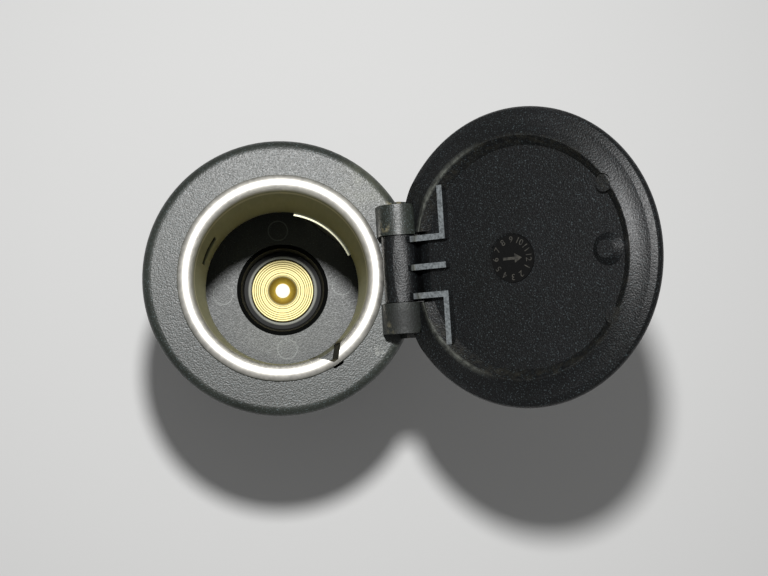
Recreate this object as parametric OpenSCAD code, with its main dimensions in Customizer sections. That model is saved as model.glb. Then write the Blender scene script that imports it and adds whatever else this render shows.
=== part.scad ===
// Car 12 V power outlet with a hinged round lid.
// Millimetres. Z runs along the socket axis and out of its mouth.
// The origin is on that axis, in the plane of the flange's underside, where the panel sits.
// X points at the hinge, and Y runs along the hinge pin.

/* [Socket] */
// Inside diameter of the contact sleeve
sleeve_d = 21.4; // [20:0.1:26]
// Sheet thickness of the contact sleeve
sleeve_t = 0.5; // [0.3:0.1:0.8]
// Length of the contact sleeve below the flange face
sleeve_len = 28.5; // [22:0.5:34]
// Width of the rolled lip outside the sleeve wall
lip_w = 1.5; // [1:0.1:2]
// Depth of the socket floor below the flange face
floor_depth = 35; // [33:0.5:46]
// Depth of the key groove pressed out of the sleeve
key_depth = 1.5; // [1:0.1:1.6]
// Width of the key groove in the sleeve
key_w = 3.2; // [2.6:0.1:3.6]
// Angle of the key groove about the socket axis
key_a = -60; // [-70:1:-50]
// Length of the lock tab lanced out of the sleeve
tab_len = 5; // [4:0.5:7]
// Width of the lock tab
tab_w = 3.9; // [3:0.1:5]
// Depth of the lock tab's slit below the flange face
tab_depth = 14; // [11:0.5:16]
// Angle of the lock tab about the socket axis
tab_a = 152; // [150:1:160]
// Angle of the ground terminal about the socket axis
ground_a = 50; // [45:1:55]

/* [Housing] */
// Width of the flange outside the sleeve's lip
flange_w = 4.3; // [3.6:0.1:7]
// Thickness of the flange
flange_t = 3; // [2.5:0.1:4]
// Rounding of the flange's upper edge
flange_r = 1.2; // [0.6:0.1:1.6]
// Wall of the barrel
barrel_wall = 1.4; // [1.2:0.1:2]
// Gap between the sleeve and the barrel, which the lip covers
barrel_gap = 1; // [0.8:0.1:1.2]
// Number of guide ribs inside the barrel
rib_n = 6; // [4:1:8]
// Width of a guide rib
rib_w = 1.6; // [1.2:0.1:2.4]
// Thickness of the socket floor
floor_t = 5.5; // [5.2:0.1:6.5]
// Thickest panel that the snap arms clamp
panel_t = 2.5; // [2:0.1:3.5]
// Width of a snap arm
snap_w = 6; // [5:0.5:7]
// Length of a snap arm
snap_len = 13; // [12:0.5:15]
// How far a snap arm's nose stands out of the barrel
snap_nose = 1.3; // [1:0.1:1.5]
// Width of the rib that stops the barrel from turning
turn_rib_w = 2.4; // [2:0.1:3]

/* [Connector] */
// Width of the shroud's outline
shroud_w = 15; // [14:0.5:17]
// Length of the shroud below the socket floor
shroud_h = 13.5; // [12:0.5:17]
// Wall of the shroud
shroud_wall = 1.3; // [1:0.1:1.3]
// Width of a terminal blade
blade_w = 6.3; // [6.3:0.1:6.8]
// Thickness of a terminal blade
blade_t = 0.8; // [0.8:0.1:1]

/* [Contact] */
// Diameter of the centre contact's face
contact_d = 9.2; // [7:0.1:9.4]
// Depth of the contact's face below the socket floor
contact_depth = 3; // [2:0.1:3.2]
// Diameter of the insulating cup's rim
cup_d = 13; // [12.6:0.1:14]
// Diameter of the contact's stem
stem_d = 3.6; // [3:0.1:4]

/* [Hinge and lid] */
// How far the lid's hinge barrel reaches in over the sleeve's lip
knuckle_over = 0.2; // [-0.6:0.1:0.2]
// Height of the hinge axis above the flange face
hinge_h = 2.3; // [2.3:0.1:2.8]
// Diameter of the lid's hinge barrel
knuckle_d = 4.2; // [3.8:0.1:4.4]
// Length of the lid's hinge barrel
knuckle_l = 8; // [6.5:0.1:9]
// Length of each housing ear
ear_l = 3.7; // [3:0.1:4.2]
// Diameter of the hinge pin
pin_d = 1.6; // [1.4:0.1:2]
// Angle through which the open lid closes
open_a = 143; // [136:0.5:148]
// How far the lid reaches past the flange
lid_over = 0.5; // [0:0.1:3]
// How far the lid's round outline reaches behind the hinge axis
lid_back = 0.7; // [0.2:0.1:1.1]
// Overall thickness of the lid
lid_t = 2.4; // [2.2:0.1:2.8]
// Thickness of the lid's top plate
lid_plate = 1.2; // [1:0.1:1.4]
// Width of the lid's ring outside the recess
ring_w = 3.4; // [2.9:0.1:3.9]
// Width of the slope from the ring's face to the recess floor
recess_slope = 1.1; // [0.4:0.1:1.2]
// Height of the ribs behind the lid's hinge
lid_rib_h = 1.1; // [0.6:0.1:1.1]
// Distance from the hinge axis at which the lid's ring starts to slope back
facet_u = 4.6; // [4.2:0.1:5.4]

/* [Hidden] */
$fn = 96;
eps = 0.01;
fit_gap = 0.1;
swing_gap = 0.3;

sleeve_r = sleeve_d / 2;
sleeve_out = sleeve_r + sleeve_t;
lip_r = sleeve_out + lip_w;
// Diameter of the flange
flange_d = 2 * (lip_r + flange_w);
flange_rad = flange_d / 2;
face_z = flange_t;
lip_h = (lip_w + sleeve_t) / 2;
lip_top = face_z + lip_h;
sleeve_end = face_z - sleeve_len;
bore_r = sleeve_out + barrel_gap;
barrel_r = bore_r + barrel_wall;
shoulder_z = sleeve_end - 0.8;
throat_r = sleeve_out + 0.55;
neck_r = throat_r + barrel_wall;
neck_z = shoulder_z - barrel_wall;
floor_z = face_z - floor_depth;
floor_low = floor_z - floor_t;
base_z = floor_low - shroud_h;
contact_r = contact_d / 2;
contact_z = floor_z - contact_depth;
cup_r = cup_d / 2;
cup_low_r = contact_r + 0.9;
cup_seat = floor_low + 0.8;
stem_r = stem_d / 2;
head_t = 1;
tab_top = face_z - tab_depth;
tab_spring = 1.6;
ledge_w = 0.4;
ledge_z = sleeve_end - sleeve_t;
ledge_arc = 55;
ground_r = sleeve_r - ledge_w + blade_t / 2;
// Length of the shroud's outline, which takes in the ground terminal's blade
shroud_l = 2 * (ground_r + blade_t / 2 + fit_gap + shroud_wall);
blade_low = base_z + 3;
blade_x = 5;
knuckle_r = knuckle_d / 2;
ear_r = knuckle_r + 0.3;
ear_gap = 0.1;
ear_in = knuckle_l / 2 + ear_gap;
ear_out = ear_in + ear_l;
ear_foot = 0.9;
pin_r = pin_d / 2;
// Distance of the hinge axis from the socket axis
hinge_x = lip_r + knuckle_r - knuckle_over;
hinge_z = face_z + hinge_h;
// Diameter of the lid
lid_d = flange_d + 2 * lid_over;
lid_r = lid_d / 2;
// Distance of the lid's centre from the hinge axis
lid_u = lid_r - lid_back;
ring_n = hinge_h - lip_h - 0.1;
back_n = ring_n - lid_t;
recess_n = back_n + lid_plate;
// Diameter of the lid's recess at its floor
recess_d = lid_d - 2 * (ring_w + recess_slope);
recess_r = recess_d / 2;
// The ring is domed, and steeper at its rim, where an edge shows between the two curves
rim_r = 0.75;
edge_u = lid_r - rim_r * (1 - sin(40));
dome_u = recess_r + recess_slope + 0.2;
dome_rad = (edge_u - dome_u) / sin(25);
edge_n = ring_n - dome_rad * (1 - cos(25));
rim_n = edge_n - rim_r * cos(40);
back_r = rim_n - back_n - 0.1;
notch_u = ear_r + 0.1;
// The top plate thins down towards the hinge barrel
web_u = 4.2;
function web_n(u) = recess_n - 0.45 * (web_u - u);
facet_k = 0.4;
pad_a = 33;
pad_r = 1;
pad_at = recess_r + recess_slope / 2;
clock_r = 2.95;
// The open lid's back stops on a ramp on the ears' outer side, which is parallel to it
tilt = 180 - open_a;
stop_n = back_n - 0.06;
ramp_in = sqrt(ear_r * ear_r - stop_n * stop_n);
ramp_out = (ear_r + ear_foot + stop_n * sin(tilt)) / cos(tilt);
rib_top = recess_n + lid_rib_h;

// A box given by its lowest and highest corners
module span(low, high) {
    translate(low) cube(high - low);
}

// A plate of a round-ended outline, centred
module rounded_plate(l, w, r, h) {
    linear_extrude(h) union() {
        square([l - 2 * r, w], center = true);
        square([l, w - 2 * r], center = true);
        for (x = [-1, 1], y = [-1, 1]) translate([x * (l / 2 - r), y * (w / 2 - r)]) circle(r);
    }
}

// A rectangle of half sizes x and y with its corners cut off
module chamfered_rectangle(x, y, c) {
    polygon([[-x, -y + c], [-x + c, -y], [x - c, -y], [x, -y + c], [x, y - c], [x - c, y], [-x + c, y], [-x, y - c]]);
}

// A sector of the XY plane about +X, wide enough to cut with
module sector(half_angle, reach) {
    polygon([[0, 0], [reach * cos(half_angle), -reach * sin(half_angle)], [1.5 * reach, 0],
             [reach * cos(half_angle), reach * sin(half_angle)]]);
}

// Section of the flange, right of the axis, with a rounded upper edge
module flange_profile() {
    difference() {
        union() {
            square([flange_rad, flange_t - flange_r]);
            square([flange_rad - flange_r, flange_t]);
            translate([flange_rad - flange_r, flange_t - flange_r]) circle(flange_r);
        }
        translate([-flange_rad, -1]) square([flange_rad, flange_t + 2]);
    }
}

// Outline of an ear seen along the hinge axis: round top, inner side upright, and the lid's stop outside
module ear_profile(r) {
    union() {
        translate([hinge_x, hinge_z]) circle(r);
        polygon([[hinge_x - r, hinge_z], [hinge_x - r - 0.2, face_z - 1.5],
                 [hinge_x + r + ear_foot, face_z - 1.5], open_point(ramp_out, stop_n),
                 open_point(ramp_in, stop_n)]);
    }
}

// A point of the lid, u out from the hinge axis and n out of its inner face, where the open lid has it
function open_point(u, n) = [hinge_x + u * cos(tilt) - n * sin(tilt), hinge_z + u * sin(tilt) + n * cos(tilt)];

module ears() {
    for (s = [-1, 1]) {
        // The ear narrows outwards on the side of the open lid
        difference() {
            translate([0, s * (ear_in + ear_out) / 2, 0]) rotate([90, 0, 0])
                linear_extrude(ear_l, center = true) ear_profile(ear_r);
            translate([0, 0, face_z + 0.2]) linear_extrude(10)
                polygon([[hinge_x + ear_r + 0.8, s * (ear_in - 0.2)], [hinge_x + ear_r + 3, s * (ear_in - 0.2)],
                         [hinge_x + ear_r + 3, s * (ear_out + 1)], [hinge_x + 1.3, s * (ear_out + 1)]]);
        }
        translate([0, s * (ear_out + 0.3), 0]) rotate([90, 0, 0])
            linear_extrude(0.6, center = true)
                polygon([[hinge_x - 0.7, face_z - 1], [hinge_x + 2.6, face_z - 1], [hinge_x + 1.6, face_z - 0.3],
                         [hinge_x + 0.3, face_z + 1]]);
    }
    // Root of the ears, from the lip out to a round wall under their outer side
    intersection() {
        rotate_extrude() union() {
            translate([lip_r + 0.3, 0]) square([hinge_x + ear_r + ear_foot - lip_r - 0.3, face_z - 0.2]);
        }
        for (s = [-1, 1])
            span([hinge_x - ear_r, s > 0 ? ear_in : -ear_out, 0],
                 [hinge_x + 6, s > 0 ? ear_out : -ear_in, face_z]);
    }
}

// A snap arm, cut free from the barrel on three sides, that locks behind the panel
module snap_cut() {
    top = -panel_t + 0.9;
    for (s = [-1, 1])
        span([bore_r - 1, s * (snap_w / 2 + 0.4) - 0.4, top - snap_len],
             [barrel_r + 2, s * (snap_w / 2 + 0.4) + 0.4, top]);
    span([bore_r - 1, -snap_w / 2 - 0.8, top - 0.8], [barrel_r + 2, snap_w / 2 + 0.8, top]);
}

module snap_nose_shape() {
    nose_z = -panel_t - 0.2;
    rotate([90, 0, 0]) linear_extrude(snap_w, center = true)
        polygon([[barrel_r - 0.7, nose_z], [barrel_r + snap_nose - 0.3, nose_z],
                 [barrel_r + snap_nose, nose_z - 0.5], [barrel_r - 0.2, nose_z - 6],
                 [barrel_r - 0.7, nose_z - 6]]);
}

// Barrel and floor as one turned section
module barrel_profile() {
    polygon([[bore_r, 0.5], [barrel_r, 0.5], [barrel_r, neck_z + 0.8], [barrel_r - 0.8, neck_z],
             [neck_r, neck_z], [neck_r, floor_low + 1.4], [neck_r - 1.1, floor_low + 0.3], [0, floor_low + 0.3],
             [0, floor_z], [throat_r, floor_z], [throat_r, shoulder_z], [bore_r, shoulder_z]]);
}

// Rear connector shroud, open at its end, with a key rib and a latch window
module shroud() {
    rotate(ground_a) difference() {
        union() {
            translate([0, 0, base_z]) rounded_plate(shroud_l, shroud_w, 3, shroud_h + 1);
            for (x = [-4, 4]) span([x - 0.8, shroud_w / 2 - 0.5, base_z + 1],
                                   [x + 0.8, shroud_w / 2 + 1, floor_low + 0.5]);
        }
        translate([0, 0, base_z - 1]) linear_extrude(shroud_h + 1)
            chamfered_rectangle(shroud_l / 2 - shroud_wall, shroud_w / 2 - shroud_wall, 1.2);
        span([-2.5, -shroud_w, base_z + 2.5], [2.5, 0, base_z + 6]);
    }
}

module housing() {
    color([0.16, 0.17, 0.18]) difference() {
        union() {
            difference() {
                union() {
                    rotate_extrude() union() {
                        difference() {
                            flange_profile();
                            translate([0, -1]) square([bore_r, flange_t + 2]);
                        }
                        barrel_profile();
                    }
                    ears();
                }
                // Groove in the flange for the lid's hinge barrel and the room it turns in
                translate([hinge_x, 0, hinge_z]) rotate([90, 0, 0])
                    cylinder(r = knuckle_r + 0.15, h = 2 * ear_in, center = true);
                for (s = [0, 180]) rotate(s + 90) snap_cut();
                // Window that the sleeve's lock tab springs into
                rotate(tab_a) span([bore_r - 0.6, -tab_w / 2 - 0.5, tab_top - tab_len - 1],
                                   [barrel_r + 1, tab_w / 2 + 0.5, tab_top - 0.1]);
            }
            for (s = [0, 180]) rotate(s + 90) snap_nose_shape();
            // Guide ribs for the sleeve, clear of the key groove and the lock tab
            for (k = [0 : rib_n - 1]) rotate(k * 360 / rib_n)
                span([sleeve_out + fit_gap, -rib_w / 2, sleeve_end + 0.3],
                     [bore_r + 0.3, rib_w / 2, face_z]);
            // Rib that stops the barrel from turning in the panel
            rotate(180) span([barrel_r - 0.4, -turn_rib_w / 2, -12], [barrel_r + 1, turn_rib_w / 2, 0.5]);
            shroud();
        }
        // Room for the sleeve's key groove
        rotate(key_a) translate([0, 0, sleeve_end + 0.7]) linear_extrude(sleeve_len + 2)
            key_vee(sleeve_t + 0.1);
        // Seat of the insulating cup
        translate([0, 0, cup_seat]) cylinder(r1 = cup_low_r + 0.4, r2 = cup_r + fit_gap, h = floor_z - cup_seat + eps);
        translate([0, 0, floor_low - 1]) cylinder(r = stem_r + 0.5, h = floor_t);
        // Marks of the mould's ejector pins
        for (a = [1, 91, 181, 271]) rotate(a) translate([8.6, 0, floor_z - 0.12]) cylinder(r = 1.4, h = 1);
        // Slot for the ground terminal
        rotate(ground_a) span([ground_r - blade_t / 2 - fit_gap, -blade_w / 2 - fit_gap, floor_low - 1],
                              [ground_r + blade_t / 2 + fit_gap, blade_w / 2 + fit_gap, floor_z + 1]);
        // Hole for the hinge pin
        translate([hinge_x, 0, hinge_z]) rotate([90, 0, 0])
            cylinder(r = pin_r, h = 2 * ear_out + 4, center = true);
    }
}

// Section of the sleeve: straight wall and a lip rolled over onto the flange face
module sleeve_profile() {
    union() {
        translate([sleeve_r, sleeve_end]) square([sleeve_t, face_z - sleeve_end]);
        difference() {
            translate([sleeve_r + lip_h, face_z]) circle(lip_h);
            translate([sleeve_r + lip_h, face_z]) circle(lip_h - sleeve_t);
            translate([sleeve_r - 1, face_z - 3]) square([2 * lip_h + 2, 3]);
        }
    }
}

// Outline of the key groove, a vee pressed outward
module key_vee(spread) {
    d = key_w / 2 + spread;
    tip = sleeve_r + key_depth + 1.3 * spread;
    polygon([[sleeve_r - 1, -d], [sleeve_r + 0.1, -d], [tip, -0.3 - spread / 2],
             [tip, 0.3 + spread / 2], [sleeve_r + 0.1, d], [sleeve_r - 1, d]]);
}

// Lock tab, sprung out of the wall towards its upper, free end
module lock_tab() {
    low = tab_top - tab_len - 0.4;
    rotate(tab_a) rotate([90, 0, 0]) linear_extrude(tab_w - 0.4, center = true)
        polygon([[sleeve_r + 0.08, low], [sleeve_out - 0.08, low],
                 [sleeve_out + tab_spring, tab_top - 0.3], [sleeve_out + tab_spring - 0.45, tab_top - 0.3]]);
}

module contact_sleeve() {
    color([0.78, 0.76, 0.7]) union() {
        difference() {
            rotate_extrude() sleeve_profile();
            rotate(key_a) translate([0, 0, sleeve_end + 1.5]) linear_extrude(lip_top - sleeve_end)
                key_vee(0);
            // Opening left in the wall by the lock tab
            rotate(tab_a) span([sleeve_r - 1, -tab_w / 2, tab_top - tab_len],
                               [sleeve_out + 0.4, tab_w / 2, tab_top]);
        }
        rotate(key_a) translate([0, 0, sleeve_end + 1]) linear_extrude(face_z + 0.4 - sleeve_end - 1)
            difference() {
                intersection() {
                    key_vee(sleeve_t - 0.1);
                    circle(lip_r - 0.08);
                }
                key_vee(0);
                circle(sleeve_r + 0.1);
            }
        // In-turned ledge at the lower edge, which carries the ground terminal
        rotate(ground_a) translate([0, 0, ledge_z]) linear_extrude(sleeve_t + 0.1) intersection() {
            difference() {
                circle(sleeve_r + 0.25);
                circle(sleeve_r - ledge_w);
            }
            sector(ledge_arc / 2, sleeve_r * 2);
        }
        lock_tab();
    }
}

// Turned contact: flat face with a raised nub, stem through the floor and a riveted tail
module centre_contact() {
    tail_z = floor_low - blade_t;
    color([0.83, 0.68, 0.3]) rotate_extrude()
        polygon(concat([[0, contact_z - 0.75 + sin(70)]],
                       [for (a = [70 : -10 : 20]) [cos(a), contact_z - 0.75 + sin(a)]],
                       [[1.15, contact_z - 0.45], [2.2, contact_z], [contact_r - 0.15, contact_z],
                        [contact_r, contact_z - 0.15], [contact_r, contact_z - head_t],
                        [stem_r, contact_z - head_t], [stem_r, tail_z], [stem_r + 0.7, tail_z],
                        [stem_r + 0.3, tail_z - 0.6], [0, tail_z - 0.6]]));
}

// Black cup that carries the contact and keeps it off the sleeve
module insulator_cup() {
    seat_r = contact_r + fit_gap;
    color([0.05, 0.05, 0.06]) rotate_extrude()
        polygon([[stem_r + 0.02, cup_seat], [cup_low_r + 0.4 - fit_gap, cup_seat], [cup_r, floor_z - 0.1],
                 [cup_r - 0.5, floor_z + 0.15], [cup_low_r + 0.1, contact_z - 0.1], [seat_r, contact_z - 0.1],
                 [seat_r, contact_z - head_t - eps], [stem_r + 0.02, contact_z - head_t - eps]]);
}

// Stamped blade under the floor, with an eye round the contact's riveted tail
module positive_terminal() {
    color([0.75, 0.74, 0.7]) rotate(ground_a) translate([0, 0, floor_low - blade_t]) difference() {
        union() {
            cylinder(r = stem_r + 1.6, h = blade_t - eps);
            span([-blade_x, -blade_w / 2, 0], [0, blade_w / 2, blade_t - eps]);
            span([-blade_x, -blade_w / 2, blade_low - floor_low + blade_t + 1],
                 [-blade_x + blade_t, blade_w / 2, blade_t - eps]);
            blade_tip(-blade_x + blade_t / 2, blade_low - floor_low + blade_t);
        }
        translate([0, 0, -1]) cylinder(r = stem_r + 0.02, h = blade_t + 2);
    }
}

// Chamfered end of a blade, 1 mm long
module blade_tip(x, z) {
    translate([x, 0, z]) rotate([90, 0, 90]) linear_extrude(blade_t, center = true)
        polygon([[-blade_w / 2 + 0.8, 0], [blade_w / 2 - 0.8, 0], [blade_w / 2, 1], [-blade_w / 2, 1]]);
}

// Strip that hangs from the sleeve's ledge, passes the floor and steps in to the connector
module ground_terminal() {
    top = ledge_z - eps;
    low = blade_low + 1;
    jog = floor_low - 1.2;
    x0 = ground_r - blade_t / 2;
    color([0.75, 0.74, 0.7]) rotate(ground_a) union() {
        span([x0, -blade_w / 2, jog - blade_t], [x0 + blade_t, blade_w / 2, top]);
        span([blade_x, -blade_w / 2, jog - blade_t], [x0 + blade_t, blade_w / 2, jog]);
        span([blade_x, -blade_w / 2, low], [blade_x + blade_t, blade_w / 2, jog]);
        blade_tip(blade_x + blade_t / 2, blade_low);
    }
}

module hinge_pin() {
    color([0.7, 0.7, 0.7]) translate([hinge_x, 0, hinge_z]) rotate([90, 0, 0])
        cylinder(r = pin_r, h = 2 * ear_out - 0.6, center = true);
}

// The lid is drawn flat about its hinge axis: X away from the hinge, Z out of its inner face

// Section of the lid's dish about its own centre
module dish_profile() {
    difference() {
        translate([0, back_n]) square([lid_r, lid_t]);
        translate([dome_u, ring_n - dome_rad]) difference() {
            square([lid_r, dome_rad + 1]);
            circle(dome_rad);
        }
        translate([lid_r - rim_r, rim_n]) difference() {
            translate([rim_r * sin(25), 0]) square([rim_r, 2]);
            circle(rim_r);
        }
        translate([lid_r - back_r, back_n - 1]) difference() {
            square([back_r + 1, back_r + 1]);
            translate([0, back_r + 1]) circle(back_r);
        }
        polygon([[-1, recess_n], [recess_r, recess_n], [recess_r + recess_slope, ring_n + eps],
                 [recess_r + recess_slope, ring_n + 1], [-1, ring_n + 1]]);
    }
}

// Slopes that take the ring back beside the ears, and hollows that the dish turns round them in
module hinge_side_cut() {
    for (s = [-1, 1]) mirror([0, s < 0 ? 1 : 0, 0]) {
        translate([0, 13, 0]) rotate([90, 0, 0]) linear_extrude(2 * (13 - ear_in), center = true)
            polygon([[-1, ring_n - facet_k * (facet_u + 1)], [facet_u + 1, ring_n + facet_k],
                     [facet_u + 1, ring_n + 2], [-1, ring_n + 2]]);
        translate([0, (ear_in + ear_out) / 2, 0]) rotate([90, 0, 0])
            linear_extrude(ear_l + 0.2, center = true) union() {
                circle(ear_r + swing_gap);
                translate([-8, back_n - 1]) square([notch_u + 8, lid_t + 2]);
            }
    }
}

module lid_rib(u0, v0, u1, v1) {
    span([u0, v0, recess_n - (u0 < web_u ? 0.9 : 0.2)], [u1, v1, rib_top]);
}

module lid() {
    color([0.14, 0.15, 0.16])
    translate([hinge_x, 0, hinge_z]) rotate([0, open_a - 180, 0]) difference() {
        union() {
            difference() {
                translate([lid_u, 0, 0]) rotate_extrude() dish_profile();
                hinge_side_cut();
                // The dish is open towards the hinge
                span([-8, -ear_in - 0.2, back_n - 1], [notch_u, ear_in + 0.2, ring_n + 1]);
                span([-1, -ear_in - 0.15, recess_n], [6, ear_in + 0.15, ring_n + 1]);
                rotate([90, 0, 0]) linear_extrude(2 * ear_in + 0.3, center = true)
                    polygon([[0, web_n(0)], [web_u, recess_n], [web_u, ring_n], [0, ring_n]]);
                // Hollows in the ring over the ejector pads
                for (s = [-1, 1])
                    translate([lid_u + pad_at * cos(pad_a), s * pad_at * sin(pad_a), ring_n - 0.35])
                        cylinder(r = pad_r + 0.05, h = 1);
            }
            rotate([90, 0, 0]) cylinder(r = knuckle_r, h = knuckle_l, center = true);
            // Web from the barrel to the top plate
            rotate([90, 0, 0]) linear_extrude(knuckle_l, center = true)
                polygon([[0, -knuckle_r], [notch_u + 1, back_n], [notch_u + 1, web_n(notch_u + 1) - 0.05],
                         [0, web_n(0) - 0.05]]);
            // Centre rib and the two angled ribs
            lid_rib(1, -0.35, 7.1, 0.35);
            for (s = [-1, 1]) mirror([0, s < 0 ? 1 : 0, 0]) {
                lid_rib(1, 3.1, 7.2, 3.8);
                lid_rib(6.5, 3.1, 7.2, 9.5);
            }
            // Pads that the mould's ejector pins press on, and the nub behind the finger edge
            for (s = [-1, 1]) translate([lid_u + pad_at * cos(pad_a), s * pad_at * sin(pad_a), recess_n - 0.3])
                cylinder(r = pad_r, h = ring_n - recess_n - 0.1);
            translate([lid_u + recess_r - 2, 0, recess_n - 0.3]) cylinder(r1 = 2.2, r2 = 1, h = 1.1);
        }
        // Shallow seat of the moulding's date clock
        translate([lid_u - 1.3, 0, recess_n - 0.15]) cylinder(r = clock_r, h = 1);
        rotate([90, 0, 0]) cylinder(r = pin_r + 0.05, h = knuckle_l + 2, center = true);
    }
}

housing();
contact_sleeve();
centre_contact();
insulator_cup();
positive_terminal();
ground_terminal();
hinge_pin();
lid();
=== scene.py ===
# Looks of a car 12 volt socket with an open round lid, seen from above
import math

import bmesh
import bpy
from mathutils import Matrix, Vector


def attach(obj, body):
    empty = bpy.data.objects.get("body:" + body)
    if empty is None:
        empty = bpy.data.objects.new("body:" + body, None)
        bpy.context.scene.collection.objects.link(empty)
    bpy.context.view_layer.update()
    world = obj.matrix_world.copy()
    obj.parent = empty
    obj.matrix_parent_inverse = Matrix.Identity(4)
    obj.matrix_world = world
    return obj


MM = 0.001

# Heights in the part's frame: the flange's face, and what the part stands on
FACE_Z = 3.0 * MM
STAND_Z = -51.0 * MM

# Rings that the mould's ejector pins leave on the socket floor, in millimetres
FLOOR_Z_MM = -32.0
EJECTOR_PLACE_MM = 8.6
EJECTOR_TURNS = (1, 91, 181, 271)

# The open lid: its hinge axis, its tilt, and a frame with X away from the hinge and Z out of its inner face
HINGE = Vector((14.6 * MM, 0, 5.3 * MM))
LID_TILT = math.radians(37)
ON_LID = Matrix.Translation(HINGE) @ Matrix.Rotation(-LID_TILT, 4, "Y")
LID_CENTRE = 16.8 * MM

# On the lid: the ribs' tops, the edges of their legs and feet, how far out they run, and the clock's pocket
RIB_TOP = 1.1 * MM
RIB_LEG = 3.9 * MM
RIB_FOOT = 6.45 * MM
RIB_END = 9.5 * MM
RIB_MIDDLE = 4.8 * MM
RIB_REACH = 2.5 * MM
CLOCK_MIDDLE = 15.5 * MM
CLOCK_FLOOR = -0.14 * MM

# Where the sleeve's in-turned ledge starts, its inner radius, and how its rounded inner edge leans
LEDGE_Z = -25.35 * MM
LEDGE_RADIUS = 10.5 * MM
LEDGE_LEAN = 0.4

# The mould's grain, and the specks of painted glint on it, both a little coarser than real, so that they
# show
GRAIN_MM = 0.19
PAINTED_GLINT_MM = 0.16

# The tool's rings on the contact, a little further apart than real, so that they show. A wave node at
# scale 1 turns twenty radians in a metre
RING_PITCH_MM = 0.31
WAVE_TURN = math.tau / 20

# Middles and reaches of the specks of old dirt by the ears, in millimetres
DIRT_MM = (((13.1, -7.1, 6.6), 1.1), ((12.5, -5.3, 5.6), 1.0), ((13.0, 5.2, 6.8), 0.9),
           ((14.6, 8.2, 3.4), 1.4), ((15.3, -8.6, 3.0), 1.2), ((12.6, 7.2, 4.2), 1.2))

# The camera's place and lens, and its turns from looking straight down
CAMERA_PLACE = (0.78 * MM, -9.81 * MM, 197.0 * MM)
SENSOR_MM = 36.0
LENS_MM = 74.1
CAMERA_TURNS = {"Z": 0.063, "Y": 0.0606, "X": -0.04}

# The lamp's place, what it is aimed at, its width and power, and the strength of the sky
LAMP_PLACE = Vector((4 * MM, 45 * MM, 197 * MM))
LAMP_AIM = Vector((10 * MM, 0, -20 * MM))
LAMP_WIDTH = 14 * MM
LAMP_POWER = 0.53
SKY_STRENGTH = 0.185


def linear(hex_colour):
    """An sRGB hex colour as linear light."""
    parts = [int(hex_colour[i:i + 2], 16) / 255 for i in (1, 3, 5)]
    return [c / 12.92 if c <= 0.04045 else ((c + 0.055) / 1.055) ** 2.4 for c in parts] + [1.0]


def add(tree, kind, inputs=(), **settings):
    """Adds a node. Settings are its own choices. Inputs come in their order or by name, and each one is a
    value, an output that feeds it, or a node whose first output in use feeds it."""
    made = tree.nodes.new("ShaderNode" + kind)
    for name, value in settings.items():
        setattr(made, name, value)
    for name, value in inputs.items() if isinstance(inputs, dict) else enumerate(inputs):
        if isinstance(value, bpy.types.Node):
            value = next(output for output in value.outputs if output.enabled)
        if isinstance(value, bpy.types.NodeSocket):
            tree.links.new(value, made.inputs[name])
        else:
            made.inputs[name].default_value = value
    return made


def new_material(name):
    """An empty material and its node tree."""
    material = bpy.data.materials.new(name)
    material.use_nodes = True
    tree = material.node_tree
    tree.nodes.clear()
    return material, tree


def surface(tree, inputs):
    """Gives a material its one shader."""
    add(tree, "OutputMaterial", {"Surface": add(tree, "BsdfPrincipled", inputs)})


def per_metre(size_mm):
    """Scale of a pattern whose grains are this many millimetres across."""
    return 1000.0 / size_mm


def metres(spot_mm):
    """A spot in metres."""
    return [c * MM for c in spot_mm]


def near(tree, place, spot_mm, reach_mm):
    """One at a spot, falling to nothing at this reach."""
    gap = add(tree, "VectorMath", (place, metres(spot_mm)), operation="DISTANCE")
    return add(tree, "MapRange", (gap, 0.35 * reach_mm * MM, reach_mm * MM, 1.0, 0.0))


def from_axis(tree, place):
    """The offset of a place from the socket's axis, and how long it is, in metres."""
    offset = add(tree, "VectorMath", (place, (1.0, 1.0, 0.0)), operation="MULTIPLY")
    return offset, add(tree, "VectorMath", (offset,), operation="LENGTH")


def band(tree, value, rise_mm, fall_mm):
    """One between two soft edges, each given by the two sizes that it lies between."""
    rise = add(tree, "MapRange", (value, *metres(rise_mm)))
    fall = add(tree, "MapRange", (value, *metres(fall_mm), 1.0, 0.0))
    return add(tree, "Math", (rise, fall), operation="MULTIPLY")


def lay(tree, place, paint, where, colour, patch_mm, detail, limits, shares):
    """Lays a colour over the paint, in patches of this size. Where the noise that makes them goes from one
    limit to the other, the colour's share goes from the first to the second."""
    patches = add(tree, "TexNoise", {"Vector": place, "Scale": per_metre(patch_mm), "Detail": detail})
    patches = add(tree, "MapRange", (patches, *limits, *shares))
    share = add(tree, "Math", (where, patches), operation="MULTIPLY")
    return add(tree, "Mix", {0: share, 6: paint, 7: linear(colour)}, data_type="RGBA")


# Moulded ABS with a spark-eroded grain from the mould: dull black, with painted glints, pale specks painted
# where grains would catch the light
def moulded_grain(tree, place, colour, pale, painted_glint_share, roughness):
    """The plastic's colour with its painted glints, its roughness, and the height of its grain as a share.
    """
    grain = add(tree, "TexNoise", {"Vector": place, "Scale": per_metre(GRAIN_MM), "Detail": 2.0})
    rough = add(tree, "MapRange", (grain, 0.3, 0.7, roughness, roughness + 0.14))
    clouds = add(tree, "TexNoise", {"Vector": place, "Scale": per_metre(9.0), "Detail": 3.0})
    clouds = add(tree, "MapRange", (clouds, 0.3, 0.7))
    paint = add(tree, "Mix", {0: clouds, 6: linear(colour), 7: linear(pale)}, data_type="RGBA")
    # Painted glints: pale specks painted into the colour where grains would catch the light
    painted_glints = add(tree, "TexNoise", {"Vector": place, "Scale": per_metre(PAINTED_GLINT_MM), "Detail": 1.0})
    painted_glints = add(tree, "MapRange", (painted_glints, 0.6, 0.76, 0.0, painted_glint_share))
    paint = add(tree, "Mix", {0: painted_glints, 6: paint, 7: linear("#93a6ab")}, data_type="RGBA")
    return paint, rough, grain


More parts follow.
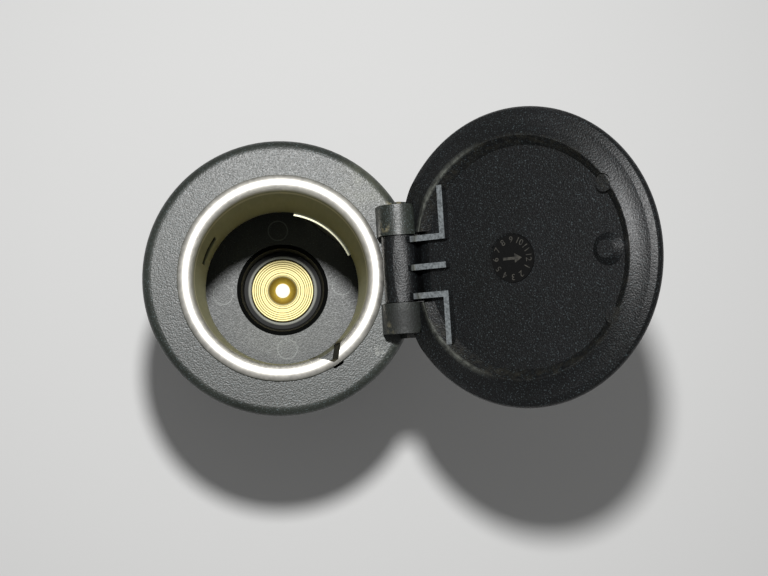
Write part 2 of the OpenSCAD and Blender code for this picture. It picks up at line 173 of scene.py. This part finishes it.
# The housing's plastic, with specks of old dirt by the ears, and a scuff and a dried film on the flange
def housing_plastic():
    material, tree = new_material("moulded_abs_housing")
    place = add(tree, "TexCoord").outputs["Object"]
    paint, rough, grain = moulded_grain(tree, place, "#1c201b", "#2a2e29", 0.26, 0.36)
    dirt = 0.0
    for spot, reach in DIRT_MM:
        dirt = add(tree, "Math", (dirt, near(tree, place, spot, reach)), operation="MAXIMUM")
    scuff = near(tree, place, (12.0, -9.6, 3.0), 2.2)
    film = near(tree, place, (11.6, 11.4, 3.0), 5.0)
    paint = lay(tree, place, paint, dirt, "#8c8468", 0.7, 4.0, (0.48, 0.6), (0.0, 0.8))
    paint = lay(tree, place, paint, scuff, "#9a9c94", 0.35, 3.0, (0.52, 0.62), (0.0, 0.3))
    paint = lay(tree, place, paint, film, "#5d5f50", 1.4, 4.0, (0.35, 0.65), (0.15, 0.5))
    # One ear is painted darker, and made rougher
    darker_ear = add(tree, "Math", (near(tree, place, (14.6, -6.2, 6.5), 4.2), 0.75), operation="MULTIPLY")
    paint = add(tree, "Mix", {0: darker_ear, 6: paint, 7: linear("#070807")}, data_type="RGBA")
    rough = add(tree, "Math", (darker_ear, 0.35, rough), operation="MULTIPLY_ADD")
    # A faint pale ring is painted round the edge of each ejector pin's mark on the socket floor
    for turn in EJECTOR_TURNS:
        angle = math.radians(turn)
        spot = (EJECTOR_PLACE_MM * math.cos(angle), EJECTOR_PLACE_MM * math.sin(angle), FLOOR_Z_MM)
        gap = add(tree, "VectorMath", (place, metres(spot)), operation="DISTANCE")
        ring = add(tree, "Math", (gap, 1.4 * MM, 0.09 * MM), operation="COMPARE")
        ring = add(tree, "Math", (ring, 0.5), operation="MULTIPLY")
        paint = add(tree, "Mix", {0: ring, 6: paint, 7: linear("#7c807c")}, data_type="RGBA")
    # The mould was smoother on the socket floor
    height = add(tree, "SeparateXYZ", (place,)).outputs["Z"]
    roughened = add(tree, "MapRange", (height, -31.0 * MM, -29.0 * MM, 0.45, 1.0))
    relief = add(tree, "Math", (grain, 0.043 * MM), operation="MULTIPLY")
    relief = add(tree, "Math", (relief, roughened), operation="MULTIPLY")
    normal = add(tree, "Bump", {"Height": relief, "Distance": 1.0})
    surface(tree, {"Base Color": paint, "Roughness": rough, "Normal": normal, "Specular IOR Level": 0.58})
    return material


# The lid's plastic is darker: the tops of its ribs are painted pale as a highlight, and dust lies in the
# slope round its recess
def lid_plastic():
    material, tree = new_material("moulded_abs_lid")
    place = add(tree, "TexCoord").outputs["Object"]
    paint, rough, grain = moulded_grain(tree, place, "#020303", "#07080a", 0.13, 0.38)
    # The place in the lid's own frame: out from the hinge, along it, and up from the inner face
    level = add(tree, "Mapping", {"Vector": place, "Rotation": (0.0, LID_TILT, 0.0),
                                  "Location": -(Matrix.Rotation(LID_TILT, 3, "Y") @ HINGE)})
    axes = add(tree, "SeparateXYZ", (level,)).outputs
    out, up = axes["X"], axes["Z"]
    along = add(tree, "Math", (axes["Y"],), operation="ABSOLUTE")
    inside = add(tree, "Math", (up, -0.2 * MM), operation="GREATER_THAN")
    # The tops of the ribs, each a leg that runs to the hinge and a foot across it, painted pale as a
    # highlight
    legs = add(tree, "Math", (along, RIB_LEG), operation="LESS_THAN")
    feet = add(tree, "Math", (out, RIB_FOOT), operation="GREATER_THAN")
    rib_top_highlight = add(tree, "Math", (legs, feet), operation="MAXIMUM")
    for limit in (add(tree, "Math", (up, RIB_TOP, 0.04 * MM), operation="COMPARE"),
                  add(tree, "Math", (out, RIB_MIDDLE, RIB_REACH), operation="COMPARE"),
                  add(tree, "Math", (along, RIB_END), operation="LESS_THAN")):
        rib_top_highlight = add(tree, "Math", (rib_top_highlight, limit), operation="MULTIPLY")
    paint = lay(tree, place, paint, rib_top_highlight, "#6f7476", 0.3, 3.0, (0.35, 0.6), (0.45, 1.0))
    # Dust in the slope round the recess
    outward = add(tree, "Math", (out, LID_CENTRE), operation="SUBTRACT")
    radius = add(tree, "CombineXYZ", (outward, axes["Y"]))
    radius = add(tree, "VectorMath", (radius,), operation="LENGTH")
    slope = band(tree, radius, (12.8, 13.5), (14.0, 14.5))
    slope = add(tree, "Math", (slope, inside), operation="MULTIPLY")
    paint = lay(tree, place, paint, slope, "#38352a", 0.7, 5.0, (0.4, 0.7), (0.0, 0.3))
    # The crest round the recess is painted pale on the hinge's side, a painted highlight
    crest_highlight = band(tree, radius, (13.9, 14.1), (14.25, 14.7))
    for limit in (add(tree, "MapRange", (out, 8.0 * MM, 13.0 * MM, 1.0, 0.0)), inside):
        crest_highlight = add(tree, "Math", (crest_highlight, limit), operation="MULTIPLY")
    paint = lay(tree, place, paint, crest_highlight, "#565852", 0.6, 4.0, (0.35, 0.6), (0.3, 1.0))
    # The ring's face falls away from a soft crown beside the recess, which catches the light
    crown = add(tree, "MapRange", (radius, 14.2 * MM, 16.5 * MM, -1.7, 0.6))
    crown = add(tree, "Math", (crown, crown), operation="MULTIPLY")
    crown = add(tree, "Math", (crown, 0.17 * MM), operation="MULTIPLY")
    relief = add(tree, "Math", (grain, 0.058 * MM), operation="MULTIPLY")
    relief = add(tree, "Math", (relief, crown), operation="ADD")
    normal = add(tree, "Bump", {"Height": relief, "Distance": 1.0})
    surface(tree, {"Base Color": paint, "Roughness": rough, "Normal": normal, "Specular IOR Level": 0.4})
    return material


# Black nylon cup from a smooth mould, painted paler grey in a narrow band next to the contact
def smooth_insulator():
    material, tree = new_material("moulded_nylon")
    place = add(tree, "TexCoord").outputs["Object"]
    waves = add(tree, "TexNoise", {"Vector": place, "Scale": per_metre(1.5), "Detail": 1.0})
    normal = add(tree, "Bump", {"Height": waves, "Distance": 0.02 * MM})
    radius = from_axis(tree, place)[1]
    paler_band = add(tree, "MapRange", (radius, 4.9 * MM, 5.1 * MM, 1.0, 0.0))
    paint = add(tree, "Mix", {0: paler_band, 6: linear("#0a0b0a"), 7: linear("#8d8e86")}, data_type="RGBA")
    surface(tree, {"Base Color": paint, "Roughness": 0.45, "Normal": normal, "Specular IOR Level": 0.12})
    return material


# Bright nickel plate on deep-drawn steel with faint draw marks along the wall; painted light and shade make
# it pale at the lip and darker, yellower down the tube
def nickel_plate():
    material, tree = new_material("nickel_plated_steel")
    place = add(tree, "TexCoord").outputs["Object"]
    height = add(tree, "SeparateXYZ", (place,)).outputs["Z"]
    offset, radius = from_axis(tree, place)
    # Painted light and shade: pale at the lip, darker olive down the tube
    shade_down_tube = add(tree, "MapRange", (height, FACE_Z + 0.6 * MM, FACE_Z - 0.6 * MM))
    paint = add(tree, "Mix", {0: shade_down_tube, 6: linear("#faf7ef"), 7: linear("#a9ab90")}, data_type="RGBA")
    # The plate below the ledge's start is painted bright, a painted highlight where the ledge mirrors the
    # lit lip
    below = add(tree, "Math", (height, LEDGE_Z), operation="LESS_THAN")
    paint = add(tree, "Mix", {0: below, 6: paint, 7: linear("#fbfaf4")}, data_type="RGBA")
    # A bright line is painted round the wall just below the lip, a painted highlight
    painted_bright_line = add(tree, "Math", (height, FACE_Z - 2.2 * MM, 1.0 * MM), operation="COMPARE")
    paint = add(tree, "Mix", {0: painted_bright_line, 6: paint, 7: linear("#dddbc4")}, data_type="RGBA")
    # The key groove and the slot behind the lock tab are painted dark below the lip, as painted shade
    groove = add(tree, "VectorMath", (offset, metres((5.5, -9.55, 0.0))), operation="DISTANCE")
    groove = add(tree, "MapRange", (groove, 2.0 * MM, 2.6 * MM, 1.0, 0.0))
    behind = add(tree, "MapRange", (radius, 10.75 * MM, 11.0 * MM))
    groove_shade = add(tree, "Math", (groove, behind), operation="MAXIMUM")
    under_lip = add(tree, "MapRange", (height, FACE_Z + 0.5 * MM, FACE_Z))
    groove_shade = add(tree, "Math", (groove_shade, under_lip), operation="MULTIPLY")
    paint = add(tree, "Mix", {0: groove_shade, 6: paint, 7: linear("#3a3a30")}, data_type="RGBA")
    # Draw marks run along the wall
    stretched = add(tree, "Mapping", {"Vector": place, "Scale": (1.0, 1.0, 0.08)})
    marks = add(tree, "TexNoise", {"Vector": stretched, "Scale": per_metre(0.5), "Detail": 3.0})
    rough = add(tree, "MapRange", (marks, 0.3, 0.7, 0.5, 0.6))
    relief = add(tree, "Bump", {"Height": marks, "Distance": 0.004 * MM})
    # The ledge is smoother, and its inner edge is rounded over and mirrors the lit lip across the mouth
    ledge = add(tree, "Math", (radius, LEDGE_RADIUS + 0.03 * MM), operation="LESS_THAN")
    ledge = add(tree, "Math", (ledge, below), operation="MULTIPLY")
    smoother = add(tree, "MapRange", (ledge, 0.0, 1.0, 1.0, 0.2))
    rough = add(tree, "Math", (rough, smoother), operation="MULTIPLY")
    lean = add(tree, "Math", (ledge, -LEDGE_LEAN / LEDGE_RADIUS), operation="MULTIPLY")
    inward = add(tree, "VectorMath", {0: offset, "Scale": lean}, operation="SCALE")
    normal = add(tree, "VectorMath", (relief, inward), operation="ADD")
    normal = add(tree, "VectorMath", (normal,), operation="NORMALIZE")
    surface(tree, {"Base Color": paint, "Roughness": rough, "Normal": normal, "Metallic": 1.0})
    return material


# Turned brass: the tool leaves fine dark rings about the axis on its face; plugs have polished the nub,
# which is painted near white as a painted highlight
def turned_brass():
    material, tree = new_material("turned_brass")
    place = add(tree, "TexCoord").outputs["Object"]
    radius = from_axis(tree, place)[1]
    wave = add(tree, "TexWave", {"Vector": place, "Scale": per_metre(RING_PITCH_MM) * WAVE_TURN,
                                 "Distortion": 0.5, "Detail": 3.0, "Detail Scale": 0.3},
               wave_type="RINGS", rings_direction="Z", wave_profile="SIN").outputs["Fac"]
    rings = add(tree, "MapRange", (wave, 0.55, 1.0))
    turned = add(tree, "MapRange", (radius, 1.8 * MM, 2.4 * MM))
    # The tool chattered, so some rings are deeper than others
    chatter = add(tree, "TexNoise", {"Vector": add(tree, "CombineXYZ", (radius,)),
                                     "Scale": per_metre(0.45), "Detail": 1.0})
    chatter = add(tree, "MapRange", (chatter, 0.3, 0.52, 0.35, 1.0))
    for limit in (turned, chatter):
        rings = add(tree, "Math", (rings, limit), operation="MULTIPLY")
    paint = add(tree, "Mix", {0: rings, 6: linear("#beb383"), 7: linear("#66592a")}, data_type="RGBA")
    # Inward from the turned face: the dish's edge and the dish, painted darker as shade in the hollow round
    # the nub, and the nub, painted near white as a highlight
    for inner, outer, colour in ((1.9, 2.1, "#967b30"), (1.4, 1.8, "#b2983f"), (0.95, 1.1, "#fffdf2")):
        share = add(tree, "MapRange", (radius, inner * MM, outer * MM, 1.0, 0.0))
        paint = add(tree, "Mix", {0: share, 6: paint, 7: linear(colour)}, data_type="RGBA")
    rough = add(tree, "MapRange", (radius, 0.9 * MM, 1.3 * MM, 0.75, 0.54))
    relief = add(tree, "Bump", {"Height": rings, "Distance": 0.015 * MM})
    # Plugs have worn the end of the nub nearly flat
    worn = add(tree, "MapRange", (radius, 0.85 * MM, 1.0 * MM, 1.0, 0.0))
    upward = add(tree, "CombineXYZ", {"Z": add(tree, "Math", (worn, 6.0), operation="MULTIPLY")})
    normal = add(tree, "VectorMath", (relief, upward), operation="ADD")
    normal = add(tree, "VectorMath", (normal,), operation="NORMALIZE")
    surface(tree, {"Base Color": paint, "Roughness": rough, "Normal": normal, "Metallic": 1.0})
    return material


# Rolled metal strip or wire: grain along the blade, dulled by its tin or by handling
def rolled_metal(name, colour, roughness):
    material, tree = new_material(name)
    place = add(tree, "TexCoord").outputs["Object"]
    stretched = add(tree, "Mapping", {"Vector": place, "Scale": (1.0, 1.0, 0.06)})
    grain = add(tree, "TexNoise", {"Vector": stretched, "Scale": per_metre(0.2), "Detail": 3.0})
    rough = add(tree, "MapRange", (grain, 0.3, 0.7, roughness - 0.07, roughness + 0.07))
    normal = add(tree, "Bump", {"Height": grain, "Distance": 0.01 * MM})
    surface(tree, {"Base Color": linear(colour), "Roughness": rough, "Normal": normal, "Metallic": 1.0})
    return material


# The date clock's insert in the mould is polished, so its mark is smoother and darker than the lid
def polished_mark():
    material, tree = new_material("moulded_abs_from_polished_insert")
    place = add(tree, "TexCoord").outputs["Object"]
    waves = add(tree, "TexNoise", {"Vector": place, "Scale": per_metre(0.5), "Detail": 2.0})
    normal = add(tree, "Bump", {"Height": waves, "Distance": 0.03 * MM})
    surface(tree, {"Base Color": linear("#080808"), "Roughness": 0.35, "Normal": normal,
                   "Specular IOR Level": 0.3})
    return material


# The clock's raised figures, greyed by dust and rubbing
def rubbed_figures():
    material, tree = new_material("moulded_abs_figures_with_dust")
    place = add(tree, "TexCoord").outputs["Object"]
    dust = add(tree, "TexNoise", {"Vector": place, "Scale": per_metre(0.4), "Detail": 2.0})
    dust = add(tree, "MapRange", (dust, 0.35, 0.65))
    paint = add(tree, "Mix", {0: dust, 6: linear("#1a1916"), 7: linear("#3b3933")}, data_type="RGBA")
    surface(tree, {"Base Color": paint, "Roughness": 0.6})
    return material


def finish_piece(name, shape, material, body, place):
    """Makes a bmesh an object of the part, with its place put into its mesh."""
    bmesh.ops.transform(shape, matrix=place, verts=shape.verts)
    mesh = bpy.data.meshes.new(name)
    shape.to_mesh(mesh)
    shape.free()
    mesh.materials.append(material)
    piece = bpy.data.objects.new(name, mesh)
    bpy.context.collection.objects.link(piece)
    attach(piece, body)


def figure(text, size, half_height, place):
    """A raised figure as a bmesh, in millimetres, with its middle on the XY plane of its place."""
    curve = bpy.data.curves.new("figure", "FONT")
    curve.body = text
    curve.size = size
    curve.extrude = half_height
    curve.align_x = "CENTER"
    curve.align_y = "CENTER"
    curve.resolution_u = 3
    holder = bpy.data.objects.new("figure", curve)
    bpy.context.collection.objects.link(holder)
    bpy.context.view_layer.update()
    mesh = holder.to_mesh()
    shape = bmesh.new()
    shape.from_mesh(mesh)
    holder.to_mesh_clear()
    bpy.data.objects.remove(holder)
    bpy.data.curves.remove(curve)
    bmesh.ops.transform(shape, matrix=place, verts=shape.verts)
    return shape


def arrow(bottom, height):
    """A raised arrow that points along Y, as a bmesh in millimetres."""
    shape = bmesh.new()
    corners = ((-0.16, -1.2), (0.16, -1.2), (0.16, 0.35), (0.55, 0.35), (0, 1.3), (-0.55, 0.35),
               (-0.16, 0.35))
    face = shape.faces.new([shape.verts.new((x, y, bottom)) for x, y in corners])
    raised = bmesh.ops.extrude_face_region(shape, geom=[face])
    raised_verts = [v for v in raised["geom"] if isinstance(v, bmesh.types.BMVert)]
    bmesh.ops.translate(shape, vec=(0, 0, height), verts=raised_verts)
    bmesh.ops.recalc_face_normals(shape, faces=shape.faces)
    return shape


def join(shapes):
    """One bmesh of several."""
    whole = bmesh.new()
    for shape in shapes:
        mesh = bpy.data.meshes.new("part_of")
        shape.to_mesh(mesh)
        shape.free()
        whole.from_mesh(mesh)
        bpy.data.meshes.remove(mesh)
    return whole


def date_clock():
    """Moulded date clock in the lid's recess: a low disc, the months round its edge and an arrow."""
    place = ON_LID @ Matrix.Translation((CLOCK_MIDDLE, 0, CLOCK_FLOOR))
    place = place @ Matrix.Rotation(-math.pi / 2, 4, "Z") @ Matrix.Scale(MM, 4)
    disc_top = 0.08
    half_raised = 0.04
    disc = bmesh.new()
    bmesh.ops.create_cone(disc, cap_ends=True, segments=64, radius1=2.85, radius2=2.8, depth=disc_top)
    bmesh.ops.translate(disc, vec=(0, 0, disc_top / 2), verts=disc.verts)
    finish_piece("date_clock_disc", disc, polished_mark(), "lid", place)
    upright = Matrix.Translation((0, 2.15, disc_top + half_raised))
    shapes = []
    for month in range(1, 13):
        turn = Matrix.Rotation(-month * math.tau / 12, 4, "Z")
        shapes.append(figure(str(month), 1.05, half_raised, turn @ upright))
    shapes.append(arrow(0.07, 0.09))
    finish_piece("date_clock_figures", join(shapes), rubbed_figures(), "lid", place)


def dress(node, material):
    """Gives a node of the part its material."""
    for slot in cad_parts[node].material_slots:
        slot.material = material


# Pale matt floor under the part
def pale_floor():
    material, tree = new_material("pale_floor")
    surface(tree, {"Base Color": linear("#dcdcdb"), "Roughness": 0.9})
    mesh = bpy.data.meshes.new("floor")
    shape = bmesh.new()
    bmesh.ops.create_grid(shape, x_segments=1, y_segments=1, size=1.5,
                          matrix=Matrix.Translation((0, 0, STAND_Z)))
    shape.to_mesh(mesh)
    shape.free()
    floor = bpy.data.objects.new("floor", mesh)
    mesh.materials.append(material)
    bpy.context.collection.objects.link(floor)


# The camera stands over the part, a little to the near side, as the photograph's did
def camera():
    data = bpy.data.cameras.new("camera")
    data.sensor_width = SENSOR_MM
    data.lens = LENS_MM
    data.clip_start = 0.01
    eye = bpy.data.objects.new("camera", data)
    turn = Matrix.Identity(3)
    for axis, angle in CAMERA_TURNS.items():
        turn = turn @ Matrix.Rotation(angle, 3, axis)
    eye.matrix_world = Matrix.Translation(CAMERA_PLACE) @ turn.transposed().to_4x4()
    bpy.context.collection.objects.link(eye)
    bpy.context.scene.camera = eye


# One small lamp beside the camera and a soft even sky, as a flash in a lit room
def lights():
    data = bpy.data.lights.new("key", "AREA")
    data.shape = "DISK"
    data.size = LAMP_WIDTH
    data.energy = LAMP_POWER
    light = bpy.data.objects.new("key", data)
    light.location = LAMP_PLACE
    light.rotation_euler = (LAMP_AIM - LAMP_PLACE).to_track_quat("-Z", "Y").to_euler()
    bpy.context.collection.objects.link(light)
    world = bpy.data.worlds.new("sky")
    world.use_nodes = True
    world.node_tree.nodes.clear()
    sky = add(world.node_tree, "Background", {"Color": (1, 1, 1, 1), "Strength": SKY_STRENGTH})
    add(world.node_tree, "OutputWorld", {"Surface": sky})
    bpy.context.scene.world = world


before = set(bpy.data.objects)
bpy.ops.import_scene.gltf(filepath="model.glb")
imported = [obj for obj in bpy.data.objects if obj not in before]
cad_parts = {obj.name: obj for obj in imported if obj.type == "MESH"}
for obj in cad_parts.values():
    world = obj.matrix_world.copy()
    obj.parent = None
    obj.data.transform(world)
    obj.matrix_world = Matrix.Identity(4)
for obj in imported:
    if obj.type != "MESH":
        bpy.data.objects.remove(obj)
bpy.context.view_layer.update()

camera()
lights()
pale_floor()

tin = rolled_metal("tinned_brass", "#c9c6bd", 0.38)
dress("housing", housing_plastic())
dress("lid", lid_plastic())
dress("insulator_cup", smooth_insulator())
dress("contact_sleeve", nickel_plate())
dress("centre_contact", turned_brass())
dress("positive_terminal", tin)
dress("ground_terminal", tin)
dress("hinge_pin", rolled_metal("drawn_steel_wire", "#b8b8b6", 0.3))
date_clock()

bpy.context.scene.view_settings.view_transform = "Standard"
